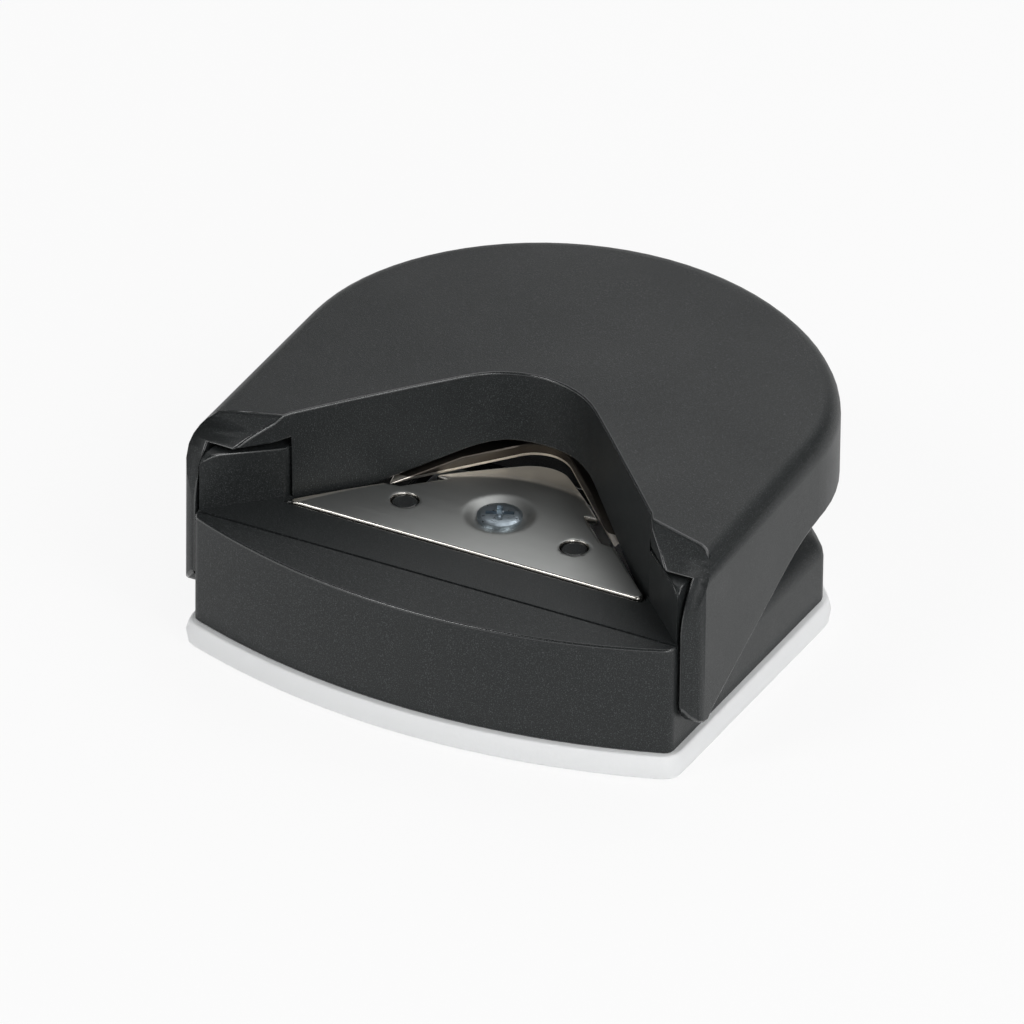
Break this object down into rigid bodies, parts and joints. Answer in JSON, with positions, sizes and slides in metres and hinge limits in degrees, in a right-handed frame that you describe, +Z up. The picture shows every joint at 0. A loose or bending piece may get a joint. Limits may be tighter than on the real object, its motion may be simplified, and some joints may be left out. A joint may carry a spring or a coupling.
{
  "type": "corner punch",
  "caption": "Desk punch that rounds card corners: a lever cover with a V-shaped throat over a steel die plate and blade, on a base with guide posts and a clear chip tray.",
  "frame": {"origin": "on the plane the punch rests on, on its centre line, level with the base's front corners", "axes": "+Z up, +X to the object's right seen from its front, +Y from the card throat towards the rear of the lever"},
  "size_m": [0.061, 0.0611, 0.0274],
  "materials": {
    "clear_tray": "frosted clear moulding",
    "black_base": "fine spark-eroded grain",
    "black_cover": "fine spark-eroded grain",
    "die_steel": "satin rolled",
    "blade_steel": "hardened, ground edge",
    "zinc_screw": "bright zinc plate",
    "spring_wire": "drawn wire"
  },
  "bodies": {
    "tray": {"chip_tray": "clear_tray"},
    "base": {"base_body": "black_base", "die_plate": "die_steel", "die_plate_screw": "zinc_screw", "pivot_rod": "zinc_screw", "return_spring": "spring_wire"},
    "lever": {"lever_cover": "black_cover", "moving_blade": "blade_steel", "blade_screw_left": "zinc_screw", "blade_screw_right": "zinc_screw"}
  },
  "joints": [
    {"name": "tray_release", "type": "slide", "parent": "tray", "child": "base", "axis": [0, 0, 1], "range_m": [0, 0.012]},
    {"name": "lever_press", "type": "hinge", "parent": "base", "child": "lever", "pos_m": [0, 0.0065, 0.0119], "axis": [-1, 0, 0], "range_deg": [0, 6.5], "stiffness_Nm_per_rad": 0.6, "springref_deg": -11.46, "deforming": ["return_spring"]}
  ]
}
